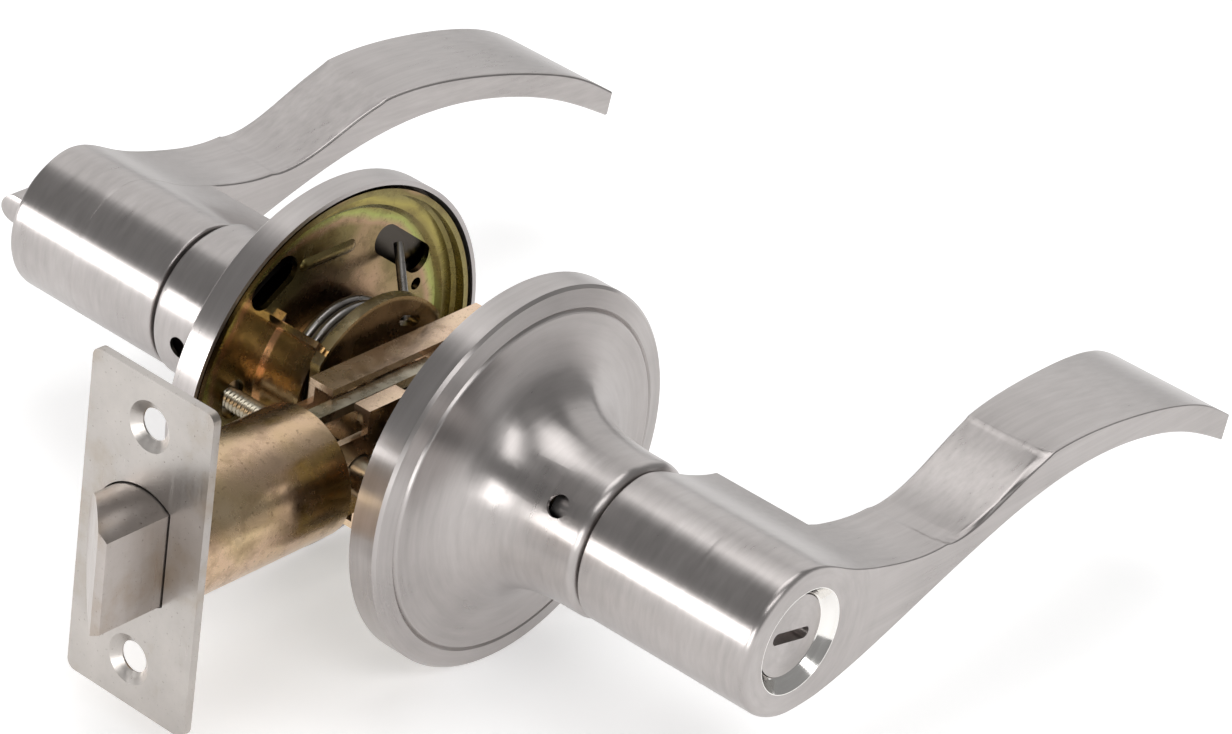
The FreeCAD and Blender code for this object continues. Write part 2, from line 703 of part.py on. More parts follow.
def make_face_plate():
    body = new_body("face_plate_body")
    sketch = new_sketch(body, "face_plate_outline", "YZ_Plane")
    outline(sketch, [("-plate_width / 2", "-plate_height / 2"), ("plate_width / 2", "-plate_height / 2"),
                     ("plate_width / 2", "plate_height / 2"), ("-plate_width / 2", "plate_height / 2")])
    sketch.setExpression("AttachmentOffset.Base.z", bound("-backset"))
    pad = body.newObject("PartDesign::Pad", "face_plate_pad")
    pad.Profile = sketch
    bind(pad, "Length", "plate_thick")
    doc.recompute()
    upright = [f"Edge{i + 1}" for i, e in enumerate(pad.Shape.Edges)
               if abs(abs(e.tangentAt(e.FirstParameter).x) - 1) < 1e-6]
    corners = body.newObject("PartDesign::Fillet", "face_plate_corners")
    corners.Base = (pad, upright)
    bind(corners, "Radius", "plate_corner")
    tools = [bolt_window("face_plate_window", 0.25, "-backset - 1", 6)]
    for sign in (-1, 1):
        z = f"{sign} * hole_spacing / 2"
        tools.append(cylinder(f"face_plate_hole_{sign + 1}", "hole_radius", 8,
                              ("-backset - 1", "0", z), X_AXIS))
        tools.append(cone(f"face_plate_sink_{sign + 1}", "sink_radius", "hole_radius", "plate_thick - 0.3",
                          ("-backset", "0", z), X_AXIS))
    node("face_plate", cut("face_plate", body, tools))


def make_back_plate():
    """The stiffening plate behind the face plate, crimped to the tube."""
    start = "-backset + plate_thick + 0.02"
    blank = box("back_plate_blank", 1.3, "plate_width - 3", "plate_height - 26",
                (start, "-(plate_width - 3) / 2", "-(plate_height - 26) / 2"))
    hole = cylinder("back_plate_hole", "tube_radius - tube_wall", 4, (f"{start} - 1", "0", "0"), X_AXIS)
    seat = cylinder("back_plate_seat", "tube_radius", 3, (f"{start} + 0.5", "0", "0"), X_AXIS)
    node("back_plate", cut("back_plate", blank, [hole, seat]))


def make_tube():
    start = "-backset + plate_thick + 0.55"
    profile = [(start, "tube_radius"), ("-tube_end - 0.6", "tube_radius"), ("-tube_end", "tube_radius - 0.6"),
               ("-tube_end", "tube_radius - 1.35"), ("-tube_end - tube_wall", "tube_radius - 1.35"),
               ("-tube_end - tube_wall", "tube_radius - tube_wall"), (start, "tube_radius - tube_wall")]
    node("latch_tube", turned("latch_tube", profile, "H_Axis"))


def make_bolt():
    """The sprung bolt: a flat-sided round bar with its bevel on the inside of the door."""
    nose = "-backset - bolt_throw"
    raw = bolt_window("bolt_blank", 0, nose, f"{size('backset + bolt_throw - bolt_back')}")
    bevel = doc.addObject("Part::Box", "bolt_bevel")
    bevel.Length = 40
    bevel.Width = 20
    bevel.Height = 40
    lean = FreeCAD.Rotation(Z_AXIS, 49)
    corner = V(size(nose), size("-bolt_flat + 1.9"), -20)
    bevel.Placement = FreeCAD.Placement(corner - lean.multVec(V(10, 0, 0)), lean)
    tail_slot = box("bolt_tail_slot", 8, "tail_sheet + 0.1", 40,
                    ("-bolt_back - 4.05", "-tail_sheet / 2 - 0.05", "-20"))
    node("latch_bolt", cut("latch_bolt", raw, [bevel, tail_slot]))


def make_tail():
    """The forked tail that pulls the bolt: a bridge in the bolt and an arm above and below the posts."""
    bridge = box("tail_bridge", 2.4, "tail_sheet", "tail_reach * 2",
                 ("-bolt_back - 4", "-tail_sheet / 2", "-tail_reach"))
    arms = []
    for i, z in enumerate(("tail_reach - tail_arm", "-tail_reach")):
        arms.append(box(f"tail_arm_{i}", "bolt_back + 4 + 2.5", "tail_sheet", "tail_arm",
                        ("-bolt_back - 4", "-tail_sheet / 2", z)))
    node("retractor_tail", fuse("retractor_tail", [bridge] + arms))


def make_latch_spring():
    """The compression spring behind the bolt, round the tail."""
    turns = 7
    start = -size("bolt_back") + 0.5
    end = -size("tube_end + tube_wall") - 2.6
    wire = 0.6
    pitch = (end - start - 2 * wire) / turns
    helix = Part.makeHelix(pitch, pitch * turns, 7.0)
    first = V(7.0, 0, 0)
    section = Part.Wire([Part.makeCircle(wire, first, V(0, 7.0, pitch / (2 * math.pi)))])
    spring = doc.addObject("Part::Feature", "latch_spring")
    spring.Shape = Part.Wire(helix.Edges).makePipeShell([section], True, True)
    spring.Placement = FreeCAD.Placement(V(start + wire, 0, 0), FreeCAD.Rotation(Z_AXIS, X_AXIS))
    node("latch_spring", spring)


def make_rear_bushing():
    """The rear wall of the tube, slotted for the tail and the case plates."""
    disc = cylinder("rear_disc", "tube_radius - tube_wall - 0.02", 2.0,
                    ("-tube_end - tube_wall - 2.02", "0", "0"), X_AXIS)
    hole = box("rear_hole", 6, 3.6, 40, ("-tube_end - 5", "-1.8", "-20"))
    core = box("rear_core", 6, 3.6, 15.0, ("-tube_end - 5", "-1.8", "-7.5"))
    slots = []
    for i, y in enumerate(("case_half - case_sheet - 0.02", "-case_half - 0.02")):
        slots.append(box(f"rear_slot_{i}", 6, "case_sheet + 0.04", "neck_half * 2 + 0.04",
                         ("-tube_end - 5", y, "-neck_half - 0.02")))
    node("rear_bushing", cut("rear_bushing", disc, [cut("rear_arm_gaps", hole, [core])] + slots))


def make_case(name, side):
    """One pressed plate of the latch case, with its folded flange and the cam's bearing hole."""
    y = "case_half - case_sheet" if side > 0 else "-case_half"
    neck = box(name + "_neck", "case_start - 17", "case_sheet", "neck_half * 2",
               ("-case_start", y, "-neck_half"))
    wall = box(name + "_wall", "case_end + 18.4", "case_sheet", "case_height * 2",
               ("-18.4", y, "-case_height"))
    flange_y = "case_half - 5.0" if side > 0 else "-case_half"
    width = 5.0 if side > 0 else 3.2
    length = "case_end + 18.4" if side > 0 else 9.0
    top = box(name + "_top", length, width, "case_sheet", ("-18.4", flange_y, "case_height - case_sheet"))
    bottom = box(name + "_bottom", length, width, "case_sheet", ("-18.4", flange_y, "-case_height"))
    bore = cylinder(name + "_bore", "cam_radius + 0.05", 4, ("0", f"{y} - 1", "0"), Y_AXIS)
    tools = [bore]
    for sign in (-1, 1):
        z = f"{sign} * rivet_z"
        tools.append(cylinder(f"{name}_rivet_hole_{sign + 1}", 1.0, 4, ("rivet_x", f"{y} - 1", z), Y_AXIS))
        tools.append(cylinder(f"{name}_post_gap_{sign + 1}", "post_radius + 0.3", 4,
                              (f"{sign} * post_x", f"{y} - 1", "0"), Y_AXIS))
    node(name, cut(name, fuse(name + "_blank", [neck, wall, top, bottom]), tools))


def make_rivets():
    pins = []
    for sign in (-1, 1):
        z = f"{sign} * rivet_z"
        shank = cylinder(f"rivet_shank_{sign + 1}", 1.0, "case_half * 2 + 0.4",
                         ("rivet_x", "-case_half - 0.2", z), Y_AXIS)
        near = cylinder(f"rivet_near_{sign + 1}", 1.7, 0.5, ("rivet_x", "-case_half - 0.5", z), Y_AXIS)
        far = cylinder(f"rivet_far_{sign + 1}", 1.7, 0.5, ("rivet_x", "case_half", z), Y_AXIS)
        spacer = cylinder(f"rivet_spacer_{sign + 1}", 1.8, "(case_half - case_sheet) * 2",
                          ("rivet_x", "-case_half + case_sheet", z), Y_AXIS)
        pins.append(fuse(f"rivet_{sign + 1}", [shank, near, far, spacer]))
    node("case_rivets", fuse("case_rivets", pins))


def make_cam():
    """The cam on the spindle: a waisted hub with a dog above and below that pushes the tail."""
    hub = cylinder("cam_hub_round", "cam_radius", "case_half * 2 + 0.8",
                   ("0", "-case_half - 0.4", "0"), Y_AXIS)
    waist = cylinder("cam_waist", "cam_radius + 4", 3.6, ("0", "-1.8", "0"), Y_AXIS)
    inner = cylinder("cam_waist_core", 5.9, 3.6, ("0", "-1.8", "0"), Y_AXIS)
    dog_disc = cylinder("cam_dog_disc", "dog_radius", "dog_width", ("0", "-dog_width / 2", "0"), Y_AXIS)
    dog_slab = box("cam_dog_slab", "dog_width", "dog_width", 16, ("-dog_width / 2", "-dog_width / 2", "-8"))
    dogs = common("cam_dogs", dog_disc, dog_slab)
    ring = cut("cam_waist_ring", waist, [inner, dogs])
    square = box("cam_square", "spindle_size + 0.1", 30, "spindle_size + 0.1",
                 ("-(spindle_size + 0.1) / 2", "-15", "-(spindle_size + 0.1) / 2"))
    node("cam_hub", cut("cam_hub", hub, [ring, square]))


OUTSIDE_HOLE = 145.0
INSIDE_HOLE = 187.0

for label, sign, angle in (("outside", OUTSIDE, OUTSIDE_HOLE), ("inside", INSIDE, INSIDE_HOLE)):
    make_rose(f"{label}_rose", sign, angle)
    make_liner(f"{label}_liner", sign)
    make_bracket(f"{label}_spring_bracket", sign)
    make_spring(f"{label}_torsion_spring", sign)
    make_drive_plate(f"{label}_drive_plate", sign)
    make_sleeve(f"{label}_drive_sleeve", sign, angle)
    make_retaining_ring(f"{label}_retaining_ring", sign)
    make_catch(f"{label}_lever_catch", sign, angle)
make_outside_lever(OUTSIDE_HOLE)
make_inside_lever(INSIDE_HOLE)
make_release()
make_turn_button()
make_spindle()
make_posts()
make_face_plate()
make_back_plate()
make_tube()
make_bolt()
make_tail()
make_latch_spring()
make_rear_bushing()
make_case("case_plate_inside", INSIDE)
make_case("case_plate_outside", OUTSIDE)
make_rivets()
make_cam()

doc.recompute()

faults = [f"{o.Name}: {o.State}" for o in doc.Objects if "Invalid" in o.State or "Error" in o.State]
for name, shape in NODES.items():
    if shape.Shape.isNull() or not shape.Shape.isValid():
        faults.append(f"{name}: shape is null or not valid")
if faults:
    raise RuntimeError("\n".join(faults))

os.makedirs("parts", exist_ok=True)
for name, shape in NODES.items():
    shape.Shape.exportStep(f"parts/{name}.step")
    solids = len(shape.Shape.Solids)
    print(f"{name}: {solids} solid(s), {shape.Shape.Volume:.0f} mm3")
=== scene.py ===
"""Looks for the tubular privacy lever set. Metres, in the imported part's own frame."""

import math

import bmesh
import bpy
import numpy as np
from mathutils import Matrix, Vector
from mathutils.geometry import tessellate_polygon


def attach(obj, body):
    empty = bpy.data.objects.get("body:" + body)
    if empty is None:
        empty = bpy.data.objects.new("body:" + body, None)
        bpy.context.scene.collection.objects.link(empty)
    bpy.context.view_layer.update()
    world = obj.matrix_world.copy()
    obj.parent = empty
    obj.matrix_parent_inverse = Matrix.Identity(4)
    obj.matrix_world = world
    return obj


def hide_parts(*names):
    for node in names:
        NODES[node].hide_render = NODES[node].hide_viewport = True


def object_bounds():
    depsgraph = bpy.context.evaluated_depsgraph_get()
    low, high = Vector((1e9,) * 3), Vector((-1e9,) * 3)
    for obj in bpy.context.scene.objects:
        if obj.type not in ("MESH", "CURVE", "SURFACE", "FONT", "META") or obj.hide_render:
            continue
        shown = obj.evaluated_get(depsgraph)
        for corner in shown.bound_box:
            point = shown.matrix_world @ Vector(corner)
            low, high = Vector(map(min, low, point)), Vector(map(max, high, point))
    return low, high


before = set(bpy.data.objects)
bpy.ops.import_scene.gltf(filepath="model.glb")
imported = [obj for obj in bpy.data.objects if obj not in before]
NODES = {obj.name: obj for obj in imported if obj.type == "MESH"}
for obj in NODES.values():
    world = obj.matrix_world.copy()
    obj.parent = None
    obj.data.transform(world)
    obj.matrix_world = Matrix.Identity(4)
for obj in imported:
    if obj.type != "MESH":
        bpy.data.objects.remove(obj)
CAD_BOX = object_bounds()
SIDES = {"outside": -1, "inside": 1}
MM = 0.001

# The camera: its direction about the part, its roll, and where it stands
VIEW_TURN = math.radians(-52.66)
VIEW_RISE = math.radians(30.35)
VIEW_ROLL = math.radians(8.19)
VIEW_SPOT = Vector((-532.7, -444.3, 419.9)) * MM
VIEW_LENS = 151.02


# Materials

SHADED = (0.07, 0.06, 0.05)
PIT = (0.16, 0.13, 0.11)
# Painted highlight colour for the drive plates' rounded rim edge.
PAINTED_RIM_HIGHLIGHT = (0.80, 0.66, 0.40)


class Surface:
    """A node material with a Principled shader, built by short calls."""

    def __init__(self, name, metallic=1.0):
        self.material = bpy.data.materials.new(name)
        self.material.use_nodes = True
        self.tree = self.material.node_tree
        self.shader = self.tree.nodes["Principled BSDF"]
        self.shader.inputs["Metallic"].default_value = metallic
        coordinates = self.node("ShaderNodeTexCoord")
        self.spot = coordinates.outputs["Object"]
        self.facing = coordinates.outputs["Normal"]

    def node(self, kind, **settings):
        made = self.tree.nodes.new(kind)
        for key, value in settings.items():
            setattr(made, key, value)
        return made

    def feed(self, socket, value):
        if isinstance(value, bpy.types.NodeSocket):
            self.tree.links.new(value, socket)
        else:
            socket.default_value = value

    def maths(self, operation, a, b=0.0):
        made = self.node("ShaderNodeMath", operation=operation)
        self.feed(made.inputs[0], a)
        self.feed(made.inputs[1], b)
        return made.outputs[0]

    def vector(self, x, y, z):
        made = self.node("ShaderNodeCombineXYZ")
        for socket, value in zip(made.inputs, (x, y, z)):
            self.feed(socket, value)
        return made.outputs[0]

    def split(self, vector):
        made = self.node("ShaderNodeSeparateXYZ")
        self.feed(made.inputs[0], vector)
        return made.outputs[0], made.outputs[1], made.outputs[2]

    def scaled(self, factors):
        made = self.node("ShaderNodeVectorMath", operation="MULTIPLY")
        self.feed(made.inputs[0], self.spot)
        made.inputs[1].default_value = factors
        return made.outputs[0]

    def noise(self, vector, scale, detail, rough=0.55, w=None):
        made = self.node("ShaderNodeTexNoise", noise_dimensions="3D" if w is None else "4D")
        self.feed(made.inputs["Vector"], vector)
        if w is not None:
            self.feed(made.inputs["W"], w)
        made.inputs["Scale"].default_value = scale
        made.inputs["Detail"].default_value = detail
        made.inputs["Roughness"].default_value = rough
        return made.outputs[0]

    def ramp(self, value, stops):
        made = self.node("ShaderNodeValToRGB")
        self.feed(made.inputs[0], value)
        while len(made.color_ramp.elements) < len(stops):
            made.color_ramp.elements.new(0.5)
        for element, (position, colour) in zip(made.color_ramp.elements, stops):
            element.position = position
            element.color = (*colour, 1.0)
        return made.outputs[0]

    def range(self, value, low, high, to_low, to_high):
        made = self.node("ShaderNodeMapRange")
        for socket, number in zip(made.inputs, (value, low, high, to_low, to_high)):
            self.feed(socket, number)
        return made.outputs[0]

    def mix(self, share, a, b):
        made = self.node("ShaderNodeMix", data_type="RGBA")
        self.feed(made.inputs["Factor"], share)
        self.feed(made.inputs["A"], (*a, 1.0) if isinstance(a, tuple) else a)
        self.feed(made.inputs["B"], (*b, 1.0) if isinstance(b, tuple) else b)
        return made.outputs["Result"]

    def blend(self, share, a, b):
        made = self.node("ShaderNodeMix", data_type="FLOAT")
        self.feed(made.inputs[0], share)
        self.feed(made.inputs[2], a)
        self.feed(made.inputs[3], b)
        return made.outputs[0]

    def about_y(self):
        """Cosine, sine and radius about the Y axis, for spun finishes."""
        x, _, z = self.split(self.spot)
        squares = self.maths("ADD", self.maths("MULTIPLY", x, x), self.maths("MULTIPLY", z, z))
        radius = self.maths("SQRT", squares)
        safe = self.maths("MAXIMUM", radius, 0.0005)
        return self.maths("DIVIDE", x, safe), self.maths("DIVIDE", z, safe), radius

    def inner_face(self):
        """One on faces within the rose that look towards the door's middle, but not on its rim."""
        _, facing, _ = self.split(self.facing)
        _, y, _ = self.split(self.spot)
        towards = self.maths("MULTIPLY", facing, y)
        within = self.range(self.maths("ABSOLUTE", y), 0.0180, 0.0184, 0.0, 1.0)
        return self.maths("MULTIPLY", self.range(towards, -0.0012, -0.0024, 0.0, 1.0), within)

    def spun_lines(self, fine=900.0, along=2.2):
        """Fine lines that run round the Y axis, on faces of any slope."""
        cosine, sine, radius = self.about_y()
        _, y, _ = self.split(self.spot)
        across = self.maths("MULTIPLY", radius, fine)
        round_x = self.maths("MULTIPLY", cosine, along)
        round_z = self.maths("MULTIPLY", sine, along)
        vector = self.vector(round_x, round_z, across)
        return self.noise(vector, 1.0, 5.0, 0.6, self.maths("MULTIPLY", y, fine))

    def straight_lines(self, factors):
        """Fine lines along the axis whose factor is small."""
        return self.noise(self.scaled(factors), 1.0, 5.0, 0.6)

    def spin_tangent(self):
        """A tangent that runs round the Y axis."""
        cosine, sine, _ = self.about_y()
        turned = self.node("ShaderNodeVectorTransform", vector_type="VECTOR",
                           convert_from="OBJECT", convert_to="WORLD")
        self.feed(turned.inputs[0], self.vector(self.maths("MULTIPLY", sine, -1.0), 0.0, cosine))
        self.feed(self.shader.inputs["Tangent"], turned.outputs[0])

    def bump(self, height, distance, strength):
        made = self.node("ShaderNodeBump")
        made.inputs["Strength"].default_value = strength
        made.inputs["Distance"].default_value = distance
        self.feed(made.inputs["Height"], height)
        return made.outputs[0]

    def finish(self, colour, roughness, normal=None, **constants):
        self.feed(self.shader.inputs["Base Color"], colour)
        self.feed(self.shader.inputs["Roughness"], roughness)
        if normal is not None:
            self.feed(self.shader.inputs["Normal"], normal)
        for key, value in constants.items():
            self.shader.inputs[key.replace("_", " ")].default_value = value
        return self.material


def satin_nickel(name, spun=True):
    """Satin nickel: fine brushed lines, soft smudges and a warm grey."""
    s = Surface(name)
    if spun:
        lines = s.spun_lines()
    else:
        x, _, _ = s.split(s.spot)
        blade = s.range(x, 0.013, 0.022, 0.0, 1.0)
        lines = s.blend(blade, s.spun_lines(), s.straight_lines((22.0, 1000.0, 1000.0)))
    s.spin_tangent()
    smudge = s.noise(s.scaled((60.0, 60.0, 60.0)), 1.0, 3.0)
    tone = s.maths("ADD", s.maths("MULTIPLY", lines, 0.5), s.maths("MULTIPLY", smudge, 0.5))
    colour = s.ramp(tone, [(0.30, (0.37, 0.345, 0.335)), (0.52, (0.46, 0.43, 0.418)),
                           (0.75, (0.54, 0.512, 0.50))])
    if spun:
        colour = s.mix(s.inner_face(), colour, SHADED)
    roughness = s.range(tone, 0.3, 0.75, 0.26, 0.34)
    normal = s.bump(lines, 0.00002, 0.22)
    return s.finish(colour, roughness, normal, Anisotropic=0.85, Anisotropic_Rotation=0.25)


def bright_nickel(name):
    """Polished nickel with the faint rings of a lathe."""
    s = Surface(name)
    lines = s.spun_lines(1400.0, 1.0)
    colour = s.ramp(lines, [(0.3, (0.80, 0.78, 0.75)), (0.7, (0.90, 0.88, 0.85))])
    return s.finish(colour, s.range(lines, 0.3, 0.7, 0.08, 0.16), s.bump(lines, 0.00001, 0.2))


def plate_nickel(name, tint):
    """Satin plating on pressed steel, with fine pits and warm stains."""
    s = Surface(name)
    lines = s.straight_lines((1500.0, 1500.0, 60.0))
    stain = s.noise(s.spot, 90.0, 5.0, 0.6)
    pits = s.noise(s.spot, 1800.0, 2.0, 0.5)
    pit = s.range(pits, 0.66, 0.74, 0.0, 1.0)
    pale = tuple(min(1.0, c * 1.12) for c in tint)
    dark = tuple(c * f for c, f in zip(tint, (0.86, 0.80, 0.72)))
    base = s.ramp(stain, [(0.33, dark), (0.5, tint), (0.7, pale)])
    colour = s.mix(s.maths("MULTIPLY", pit, 0.55), base, PIT)
    roughness = s.range(lines, 0.3, 0.7, 0.27, 0.38)
    height = s.maths("SUBTRACT", s.maths("MULTIPLY", lines, 0.35), pit)
    return s.finish(colour, roughness, s.bump(height, 0.00004, 0.4), Anisotropic=0.3)


def yellow_zinc(name, film, grime_tint, rings=0.0):
    """Zinc under a yellow chromate film that drifts in colour, or runs in bands about Y on a dish."""
    s = Surface(name)
    drift = s.noise(s.spot, 48.0, 3.0, 0.55)
    start, span = 0.28, 0.44
    if rings:
        _, _, radius = s.about_y()
        bands = s.range(radius, 0.0235, 0.0315, 0.0, rings)
        drift = s.maths("FRACT", s.maths("ADD", bands, drift))
        start, span = 0.0, 1.0
    colour = s.ramp(drift, [(start + i / (len(film) - 1) * span, c) for i, c in enumerate(film)])
    grime = s.noise(s.spot, 240.0, 5.0, 0.65)
    specks = s.noise(s.spot, 1500.0, 2.0, 0.5)
    colour = s.mix(s.range(grime, 0.50, 0.72, 0.0, 0.55), colour, grime_tint)
    colour = s.mix(s.range(specks, 0.62, 0.72, 0.0, 0.5), colour, grime_tint)
    roughness = s.range(grime, 0.3, 0.75, 0.17, 0.36)
    return s.finish(colour, roughness, s.bump(specks, 0.00003, 0.3))


WARM_FILM = [(0.46, 0.31, 0.18), (0.60, 0.43, 0.26), (0.62, 0.44, 0.30), (0.58, 0.43, 0.25),
             (0.68, 0.53, 0.35)]
# Painted light: a lighter copy of WARM_FILM for the case, making up for the brighter reflections its
# upward faces lack.
PAINTED_LIGHTER_CASE_FILM = [(0.60, 0.44, 0.29), (0.74, 0.56, 0.40), (0.72, 0.53, 0.39), (0.68, 0.52, 0.33),
             (0.80, 0.64, 0.46)]
DISH_FILM = [(0.22, 0.17, 0.06), (0.36, 0.30, 0.09), (0.25, 0.21, 0.08), (0.20, 0.155, 0.06),
             (0.38, 0.245, 0.15), (0.34, 0.36, 0.11), (0.22, 0.17, 0.06)]


def drive_zinc(name):
    """Dark pressed plate with a painted highlight in colour along its rounded rim edge."""
    s = Surface(name)
    mottle = s.noise(s.spot, 200.0, 5.0, 0.6)
    _, _, radius = s.about_y()
    base = s.ramp(mottle, [(0.3, (0.21, 0.155, 0.085)), (0.7, (0.42, 0.31, 0.18))])
    # Painted highlight: the band beyond 16.4 mm from the axis is made bright in colour, in place of light
    # on the rounded rim edge.
    colour = s.mix(s.range(radius, 0.0160, 0.0164, 0.0, 1.0), base, PAINTED_RIM_HIGHLIGHT)
    fine = s.noise(s.spot, 1500.0, 3.0, 0.6)
    return s.finish(colour, s.range(mottle, 0.3, 0.7, 0.20, 0.34), s.bump(fine, 0.00003, 0.3))


def steel(name, low, high, rough_low, rough_high):
    """Plain worked steel: mottled tone, fine grain and uneven gloss."""
    s = Surface(name)
    mottle = s.noise(s.spot, 220.0, 5.0, 0.6)
    fine = s.noise(s.spot, 900.0, 3.0, 0.6)
    colour = s.ramp(mottle, [(0.3, low), (0.7, high)])
    return s.finish(colour, s.range(mottle, 0.3, 0.7, rough_low, rough_high), s.bump(fine, 0.00003, 0.3))


MATERIALS = {
    "rose": satin_nickel("satin_nickel_spun"),
    "lever": satin_nickel("satin_nickel_lever", spun=False),
    "bright": bright_nickel("bright_nickel"),
    "plate": plate_nickel("plate_nickel", (0.46, 0.43, 0.405)),
    "bolt": plate_nickel("bolt_nickel", (0.44, 0.40, 0.375)),
    "zinc": yellow_zinc("yellow_zinc", WARM_FILM, (0.20, 0.13, 0.07)),
    # The case's zinc: the same yellow zinc painted lighter, with a lighter grime tint, as painted light.
    "zinc_painted_lighter": yellow_zinc("yellow_zinc_painted_lighter", PAINTED_LIGHTER_CASE_FILM, (0.34, 0.24, 0.14)),
    "zinc_rings": yellow_zinc("yellow_zinc_rings", DISH_FILM, (0.13, 0.095, 0.04), 1.1),
    "spring": steel("spring_steel", (0.20, 0.185, 0.17), (0.46, 0.44, 0.42), 0.22, 0.38),
    "dark": drive_zinc("dark_zinc"),
    "zinc_bright": steel("bright_zinc", (0.36, 0.32, 0.24), (0.60, 0.55, 0.44), 0.2, 0.36),
}
FINISHES = {
    "rose": "outside_rose inside_rose release_insert turn_button",
    "lever": "outside_lever inside_lever",
    "bright": "release_bushing button_bushing",
    "plate": "face_plate",
    "bolt": "latch_bolt",
    "zinc": "outside_spring_bracket inside_spring_bracket latch_tube rear_bushing",
    "zinc_painted_lighter": "case_plate_inside case_plate_outside back_plate",
    "zinc_rings": "outside_liner inside_liner",
    "spring": "outside_torsion_spring inside_torsion_spring latch_spring inside_lever_catch"
              " outside_lever_catch outside_retaining_ring inside_retaining_ring",
    "dark": "outside_drive_plate inside_drive_plate outside_drive_sleeve inside_drive_sleeve",
    "zinc_bright": "mounting_posts mounting_screws spindle locking_bar case_rivets cam_hub retractor_tail",
}


def paint(thing, finish):
    thing.data.materials.clear()
    thing.data.materials.append(MATERIALS[finish])


for finish, names in FINISHES.items():
    for name in names.split():
        paint(NODES[name], finish)


# Levers: the cast wave with soft edges and a thumb scoop, in millimetres until the mesh is made

HUB_RADIUS = 13.0
HUB_BACK = 46.2
FRONT = 79.4
CORNER = 18.2
LEAVE = math.radians(100.0)
JOIN = math.radians(-88.0)
WAVE_TOP = [(9.6, 9.1), (20.0, 5.5), (29.0, 3.6), (38.0, 3.7), (46.0, 6.0), (55.0, 9.3), (66.5, 10.4),
            (80.0, 9.1), (93.5, 6.3), (104.0, 2.5), (111.3, -1.9)]
WAVE_LOW = [(17.0, -9.7), (31.5, -4.7), (46.5, 0.3), (60.0, 3.6), (72.0, 4.6), (86.0, 3.2), (98.4, -0.4),
            (110.4, -6.4)]
DOOR_SIDE = [(18.2, 64.7), (44.0, 64.35), (62.0, 63.1), (80.0, 61.0), (96.0, 58.5), (117.3, 55.7)]
SCOOP = (33.5, 58.5)
SCOOP_DEPTH = 0.8
EDGE = 0.25
DOOR_EDGE = 0.02
BLADE_STEPS = 150
ACROSS = 8
MOUTH_RADIUS = 9.02
WELL_RADIUS = 8.42
WELL_DEPTH = 8.0
STEM_RADIUS = 5.6
SHANK = [(11.35, HUB_BACK), (11.35, 36.9), (11.25, 36.8), (9.65, 36.8), (9.65, 67.4), (STEM_RADIUS, 67.4)]


def curve_table(points, first_slope=None, steps=40):
    """Samples of a smooth cubic through points, with an optional direction at its start."""
    p = np.array(points, float)
    h = np.linalg.norm(np.diff(p, axis=0), axis=1)
    n = len(p)
    a = np.zeros((n, n))
    b = np.zeros((n, 2))
    a[0, 0], a[0, 1] = 2.0, 1.0
    b[0] = 3 * (p[1] - p[0]) / h[0]
    if first_slope is not None:
        a[0, 1] = 0.0
        b[0] = 2.0 * np.array(first_slope)
    for i in range(1, n - 1):
        a[i, i - 1], a[i, i + 1] = 1 / h[i - 1], 1 / h[i]
        a[i, i] = 2 * (a[i, i - 1] + a[i, i + 1])
        b[i] = 3 * ((p[i] - p[i - 1]) / h[i - 1] ** 2 + (p[i + 1] - p[i]) / h[i] ** 2)
    a[-1, -1], a[-1, -2] = 2.0, 1.0
    b[-1] = 3 * (p[-1] - p[-2]) / h[-1]
    d = np.linalg.solve(a, b)
    out = []
    for i in range(n - 1):
        for t in np.linspace(0, 1, steps, endpoint=False):
            out.append((1 + 2 * t) * (1 - t) ** 2 * p[i] + t * (1 - t) ** 2 * h[i] * d[i]
                       + t * t * (3 - 2 * t) * p[i + 1] + t * t * (t - 1) * h[i] * d[i + 1])
    return np.array(out + [p[-1]])


def at(table, x):
    return float(np.interp(x, table[:, 0], table[:, 1]))


def lever_outline():
    """The front outline as spots, split into the blade's and the hub's."""
    top_start = (HUB_RADIUS * math.cos(LEAVE), HUB_RADIUS * math.sin(LEAVE))
    low_start = (HUB_RADIUS * math.cos(JOIN), HUB_RADIUS * math.sin(JOIN))
    top = curve_table([top_start] + WAVE_TOP, (math.sin(LEAVE), -math.cos(LEAVE)))
    low = curve_table([low_start] + WAVE_LOW, (-math.sin(JOIN), math.cos(JOIN)))
    blade_top = [(x, at(top, x)) for x in np.linspace(CORNER, WAVE_TOP[-1][0], BLADE_STEPS + 1)]
    blade_low = [(x, at(low, x)) for x in np.linspace(CORNER, WAVE_LOW[-1][0], BLADE_STEPS + 1)]
    hub_low = [(x, at(low, x)) for x in np.linspace(CORNER, low_start[0], 24)]
    arc = [(HUB_RADIUS * math.cos(t), HUB_RADIUS * math.sin(t))
           for t in np.linspace(JOIN, LEAVE - 2 * math.pi, 96)[1:-1]]
    hub_top = [(x, at(top, x)) for x in np.linspace(top_start[0], CORNER, 30)]
    return blade_top, blade_low, hub_low + arc + hub_top


def outward(points):
    """Unit normals of a run of spots, to the left of the direction of travel."""
    p = np.array(points, float)
    t = np.gradient(p, axis=0)
    t /= np.linalg.norm(t, axis=1, keepdims=True)
    return np.stack([-t[:, 1], t[:, 0]], axis=1)


def scoop_drop(x, inward):
    """How far the thumb scoop lowers the top at a distance in from the front edge."""
    share = (x - SCOOP[0] - 1.6 * math.exp(-inward / 3.0)) / (SCOOP[1] - SCOOP[0])
    if not 0.0 < share < 1.0:
        return 0.0
    side = abs(2 * share - 1)
    bevel = 0.6 + 1.6 * side ** 2
    floor = SCOOP_DEPTH * math.sqrt(1 - side ** 2)
    edge = 0.55 * (1 - side ** 2)
    return floor + edge * max(0.0, 1.0 - inward / bevel)


def ring_levels(radius, count=5):
    """Inset and depth of each level of a rounded edge, from the flat face outwards."""
    turns = [i * math.pi / 2 / (count - 1) for i in range(count)]
    return [(radius * (1 - math.sin(t)), radius * (1 - math.cos(t))) for t in turns]


def between(a, b, k):
    """The spot k steps of ACROSS from a to b."""
    return np.array(a) * (1 - k / ACROSS) + np.array(b) * (k / ACROSS)


